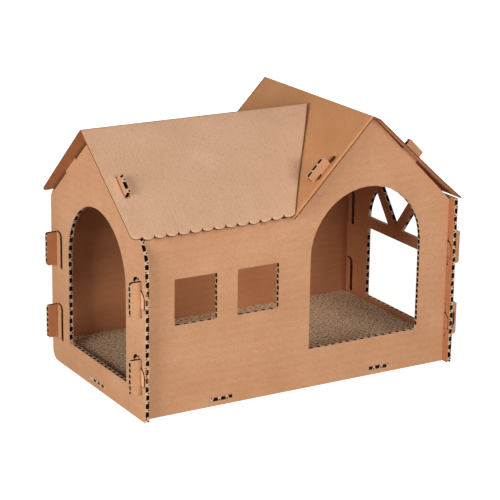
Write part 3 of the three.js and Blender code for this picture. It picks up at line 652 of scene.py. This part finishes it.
# Cross roof, in mm: thin board over the gables, folded at the ridge and creased beside it
crossRoofSet = dict(
    front=-175.0,
    back=175.0,
    rows=44,
    # each leaf: its profile from the ridge down, as x and z of the upper and the lower face, x and z of its
    # slot's two ends, and how far its lower edge curls up
    left=dict(top=[(124.6, 459.35), (-25.2, 305.0)], bottom=[(124.6, 455.8), (-23.4, 303.3)],
              slot=((29.0, 360.7), (64.0, 394.8)), endLift=0.0),
    right=dict(top=[(124.9, 459.4), (138.8, 453.0), (309.75, 297.4)],
               bottom=[(124.9, 456.7), (137.4, 450.9), (308.1, 295.5)],
               slot=((196.85, 398.45), (228.7, 369.5)), endLift=1.6),
    endFrom=0.7,  # share of the way down at which that curl starts
    sag=0.3,  # share of the curl by which the sheet sags above it
    crease=3.0,  # length of the rounding at each side of a crease
    fold=(124.75, 458.75),  # middle of the round fold that both leaves share at the ridge
    foldRadius=0.6,
    foldSides=12,
    step=7.0,
    slotSides=((-161.0, -152.0), (152.0, 161.0)),
    slotReach=6.0,  # of the slot's cutter, above and below the upper face
    wave=0.8,  # unevenness of the sheet
    waveAlong=60.0,
    waveDown=80.0,
)


# Points along a line of straight runs, the same shares of each run on the upper and lower face, closer
# together at the creases, which are round on the upper face
def sampledLine(corners, others, look):
    tops, bottoms = [], []
    for i in range(len(corners) - 1):
        a, b = np.array(corners[i]), np.array(corners[i + 1])
        c, d = np.array(others[i]), np.array(others[i + 1])
        length = np.linalg.norm(b - a)
        near = look["crease"] / length
        inner = np.linspace(near, 1 - near, max(2, int(length / look["step"])))[1:]
        shares = np.concatenate([[0, near / 3, near], inner, [1 - near / 3, 1]])
        shares = shares if i == 0 else shares[1:]
        tops.append(a + shares[:, None] * (b - a))
        bottoms.append(c + shares[:, None] * (d - c))
    top, bottom = np.concatenate(tops), np.concatenate(bottoms)
    soft = top.copy()
    # each point is moved half way to its neighbours' middle
    soft[1:-1] = 0.25 * top[:-2] + 0.5 * top[1:-1] + 0.25 * top[2:]
    return soft, bottom


# Profile across the ridge, carried from front to back. Lift off the slope: a slow sine wave, and at the lower
# end a curl that grows with the square of the way
def crossLeaf(node, leaf, look):
    upper, lower = sampledLine(leaf["top"], leaf["bottom"], look)
    slope = np.array(leaf["top"][-1]) - np.array(leaf["top"][-2])
    above = np.array([-slope[1], slope[0]]) / np.linalg.norm(slope)
    above = above * np.sign(above[1])
    far = np.linalg.norm(upper - upper[0], axis=1)
    share = far / far[-1]
    ys = np.linspace(look["front"], look["back"], look["rows"])
    curl = leaf["endLift"] * np.clip((share - look["endFrom"]) / (1 - look["endFrom"]), 0, 1) ** 2
    curl = curl - look["sag"] * leaf["endLift"] * np.sin(math.pi * share)
    slow = 0.5 + 0.5 * np.sin(ys / look["waveAlong"] + far[:, None] / look["waveDown"])
    calm = np.sin(math.pi * share)[:, None] * np.sin(math.pi * (ys - ys[0]) / (ys[-1] - ys[0])) ** 2
    lift = look["wave"] * slow * calm + curl[:, None]

    def surface(line):
        flat = line[:, None, :] + lift[..., None] * above
        return np.stack([flat[..., 0], np.broadcast_to(ys, flat.shape[:2]), flat[..., 1]], -1) * mm

    papers = [crossKraftShaded, thinCutEdge, insideKraft]
    piece = closedSheet(node + "_sheet", surface(upper), surface(lower), papers)
    axes = (axisX, axisZ, axisY)
    turn = np.linspace(0, 2 * math.pi, look["foldSides"], endpoint=False)
    fold = (np.array(look["fold"]) + look["foldRadius"] * np.stack([np.cos(turn), np.sin(turn)], -1)) * mm
    rod = prisms(node + "_fold", [fold], [ys[0] * mm], [ys[-1] * mm], axes, crossKraftShaded)
    combine(piece, rod, "UNION")
    a, b = np.array(leaf["slot"][0]), np.array(leaf["slot"][1])
    run = (b - a) / np.linalg.norm(b - a)
    out = look["slotReach"] * np.array([-run[1], run[0]])
    loop = np.array([a - out, b - out, b + out, a + out]) * mm
    starts = [s[0] * mm for s in look["slotSides"]]
    ends = [s[1] * mm for s in look["slotSides"]]
    combine(piece, prisms(node + "_slot", [loop, loop], starts, ends, axes, thinCutEdge))
    return finishRoof(piece, node)


crossLeaf("cross_roof_left_leaf", crossRoofSet["left"], crossRoofSet)
crossLeaf("cross_roof_right_leaf", crossRoofSet["right"], crossRoofSet)


# Scratching pad, in mm: strips of corrugated board packed on edge, the fluting open at the top. Strips and
# waves are drawn coarser than real ones, so that they show
padSet = dict(
    low=(-287.25, -151.0, 15.3),
    high=(294.75, 151.0, 40.0),
    cornerRadius=3.0,
    cornerPoints=5,
    strip=7.4,  # from liner to liner
    wave=12.0,
    liner=1.9,
    web=0.95,  # half the thickness of the fluting
    play=0.05,  # between fluting and liner
    depth=2.8,  # how deep the open flutes show
    rooted=0.5,  # how far the ribbons reach into the block below
    lower=0.15,  # by which the fluting is lower than the liners
    ragged=0.5,  # and by up to this much more
    perWave=6,
    seed=5,
    paper=dict(colour="#fbe8c8", shade="#a98561", light="#fff8e8", tornSize=4.0),
    inside=dict(colour="#b88e67", shade="#785236", light="#d2ab84", tornSize=4.0),
)
# Cut edges of the strips, which make the top of the pad: cream, with brown specks, partly painted shade of
# the open flutes, which are drawn shallower than real ones
padPaper = cutPaper("scratchPadPaper", {**cutLook, **padSet["paper"]})
# Sides of the strips and of the block below them: a browner paper, its dark tones partly painted shade of the
# deep flutes
padInside = cutPaper("scratchPadFluting", {**cutLook, **padSet["inside"]})


# A thin wall along a line in x and y, from its foot up to its top: its points, its faces and their materials
def ribbon(xs, ys, half, foot, top):
    size = len(xs)
    ring = np.zeros((4, size, 3))
    ring[:, :, 0] = xs
    ring[:, :, 1] = ys + np.array([-half, half, half, -half])[:, None]
    ring[:2, :, 2] = foot
    ring[2:, :, 2] = top
    number = np.arange(4 * size).reshape(4, size)
    after = np.roll(number, -1, axis=0)
    sides = np.stack([number[:, :-1], after[:, :-1], after[:, 1:], number[:, 1:]], -1).reshape(-1, 4)
    ends = np.stack([number[[0, 3, 2, 1], 0], number[:, -1]])
    slots = np.append(np.repeat([1, 1, 0, 1], size - 1), [1, 1])
    return ring.reshape(-1, 3), np.concatenate([sides, ends]), slots


# Ribbons standing on a block. A liner is straight. The fluting between two liners runs at
# middle + rise * sin(2 pi x / wave + start), with its own start in each strip
def scratchPad(look):
    rng = np.random.default_rng(look["seed"])
    lo, hi = np.array(look["low"]), np.array(look["high"])
    radius = look["cornerRadius"]
    count = int((hi[1] - lo[1]) / look["strip"])
    pitch = (hi[1] - lo[1] - look["liner"]) / count
    floor, ceiling = hi[2] - look["depth"], hi[2]
    foot = floor - look["rooted"]

    # How far a strip at y starts in from the end, as the pad's corners are rounded
    def inset(y):
        d = max(0.0, radius - min(y - lo[1], hi[1] - y))
        return radius - math.sqrt(max(radius**2 - d**2, 0))

    ribbons = []
    for i in range(count + 1):
        y = lo[1] + look["liner"] / 2 + i * pitch
        xs = np.array([lo[0] + inset(y), hi[0] - inset(y)])
        ribbons.append(ribbon(xs, np.array([y, y]), look["liner"] / 2, foot, np.full(2, ceiling)))
    for i in range(count):
        y = lo[1] + look["liner"] / 2 + (i + 0.5) * pitch
        cut = max(inset(y - pitch / 2), inset(y + pitch / 2))
        steps = int((hi[0] - lo[0] - 2 * cut) / look["wave"] * look["perWave"])
        xs = np.linspace(lo[0] + cut, hi[0] - cut, steps)
        rise = (pitch - look["liner"]) / 2 - look["web"] - look["play"]
        start = rng.random() * 2 * math.pi
        ys = y + rise * np.sin(2 * math.pi * xs / look["wave"] + start)
        top = ceiling - look["lower"] - look["ragged"] * rng.random(steps)
        ribbons.append(ribbon(xs, ys, look["web"], foot, top))
    before = np.cumsum([0] + [len(points) for points, faces, slots in ribbons])
    ribbonPoints = [points for points, faces, slots in ribbons]
    ribbonFaces = np.concatenate([faces + base for (points, faces, slots), base in zip(ribbons, before)])

    # the block under the open flutes
    turn = np.linspace(0, math.pi / 2, look["cornerPoints"]) + np.arange(4)[:, None] * math.pi / 2
    centres = np.array([(hi[0] - radius, hi[1] - radius), (lo[0] + radius, hi[1] - radius),
                        (lo[0] + radius, lo[1] + radius), (hi[0] - radius, lo[1] + radius)])
    loop = (centres[:, None] + radius * np.stack([np.cos(turn), np.sin(turn)], -1)).reshape(-1, 2)
    size = len(loop)
    block = [np.column_stack([loop, np.full(size, height)]) for height in (lo[2], floor)]
    ring = before[-1] + np.arange(size)
    after = before[-1] + (np.arange(size) + 1) % size
    blockFaces = np.stack([ring, after, after + size, ring + size], -1).tolist()
    blockFaces += [ring[::-1].tolist(), (ring + size).tolist()]

    allPoints = np.concatenate(ribbonPoints + block) * mm
    allSlots = np.concatenate([slots for points, faces, slots in ribbons] + [np.ones(len(blockFaces), int)])
    return newObject("scratch_pad_strips", allPoints, ribbonFaces.tolist() + blockFaces, allSlots,
                     [padPaper, padInside])


pad = scratchPad(padSet)
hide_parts("scratch_pad")
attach(pad, bodyOf["scratch_pad"])
print("pad", len(pad.data.polygons), "faces")


# Plain pale floor and soft light, in metres
stageSet = dict(
    radius=40.0,
    corners=64,
    below=0.0004,  # how far it lies under the house, so that it touches no board
    floor="#d6d4d1",
    roughness=0.9,
    specular=0.0,
    glow=0.79,  # seen by the camera only, near the house
    farGlow=1.0,
    glowFrom=0.45, glowTo=1.7,  # from the middle
    sky=0.05,  # light from the world, which the camera sees as white
)
lampSet = dict(
    aim=(0.0, 0.0, 0.2),
    colour="#fffaf5",
    lamps=dict(
        key=dict(spot=(-0.1, -2.5, 2.1), size=(1.6, 1.2), power=20.5),
        frontFill=dict(spot=(0.3, -2.9, 0.95), size=(1.3, 0.6), power=32.0),
        leftFill=dict(spot=(-2.6, -0.9, 0.85), size=(1.4, 0.9), power=53.0),
        backFill=dict(spot=(1.5, 2.5, 1.3), size=(1.6, 1.2), power=26.0),
    ),
)


# One where the camera, a mirror or glass sees the surface, else zero
def seenByCamera(tree):
    path = add(tree, "ShaderNodeLightPath").outputs
    seen = path["Is Camera Ray"]
    for ray in ("Is Glossy Ray", "Is Transmission Ray"):
        seen = add(tree, "ShaderNodeMath", {0: seen, 1: path[ray]}, operation="MAXIMUM").outputs[0]
    return seen


def makeStage(look):
    white = (1.0, 1.0, 1.0, 1.0)
    angle = np.linspace(0, 2 * math.pi, look["corners"], endpoint=False)
    heights = np.full(look["corners"], -look["below"])
    points = np.stack([look["radius"] * np.cos(angle), look["radius"] * np.sin(angle), heights], -1)
    # Matt white floor: its glow for the camera grows away from the house, so the shadow beside it stays
    material, tree, shader = newMaterial("paleFloor", look)
    shader.inputs["Base Color"].default_value = linear(look["floor"])
    place = add(tree, "ShaderNodeTexCoord").outputs["Object"]
    away = add(tree, "ShaderNodeVectorMath", {0: place}, operation="LENGTH").outputs["Value"]
    glow = add(tree, "ShaderNodeMapRange",
               {"Value": away, "From Min": look["glowFrom"], "From Max": look["glowTo"],
                "To Min": look["glow"], "To Max": look["farGlow"]}, interpolation_type="SMOOTHSTEP")
    seenGlow = {0: seenByCamera(tree), 1: glow.outputs[0]}
    strength = add(tree, "ShaderNodeMath", seenGlow, operation="MULTIPLY").outputs[0]
    shine = add(tree, "ShaderNodeEmission", {"Color": white, "Strength": strength})
    both = add(tree, "ShaderNodeAddShader", {0: shader.outputs[0], 1: shine.outputs[0]})
    tree.links.new(both.outputs[0], tree.nodes["Material Output"].inputs["Surface"])
    floor = newObject("floor", points, [list(range(look["corners"]))], None, [material])
    world = bpy.data.worlds.new("paleRoom")
    bpy.context.scene.world = world
    world.use_nodes = True
    tree = world.node_tree
    strength = add(tree, "ShaderNodeMapRange",
                   {"Value": seenByCamera(tree), "To Min": look["sky"], "To Max": 1.0})
    background = tree.nodes["Background"]
    background.inputs["Color"].default_value = white
    tree.links.new(strength.outputs[0], background.inputs["Strength"])


def addLamps(look):
    aim = np.array(look["aim"])
    for name, lampLook in look["lamps"].items():
        data = bpy.data.lights.new(name, "AREA")
        data.shape = "RECTANGLE"
        data.size, data.size_y = lampLook["size"]
        data.energy = lampLook["power"]
        data.color = linear(look["colour"])[:3]
        lamp = bpy.data.objects.new(name, data)
        spot = np.array(lampLook["spot"])
        back = (spot - aim) / np.linalg.norm(spot - aim)
        side = np.cross([0, 0, 1.0], back)
        side = side / np.linalg.norm(side)
        lamp.matrix_world = placing(side, np.cross(back, side), back, spot)
        bpy.context.scene.collection.objects.link(lamp)


makeStage(stageSet)
addLamps(lampSet)
print("stage and lamps placed")
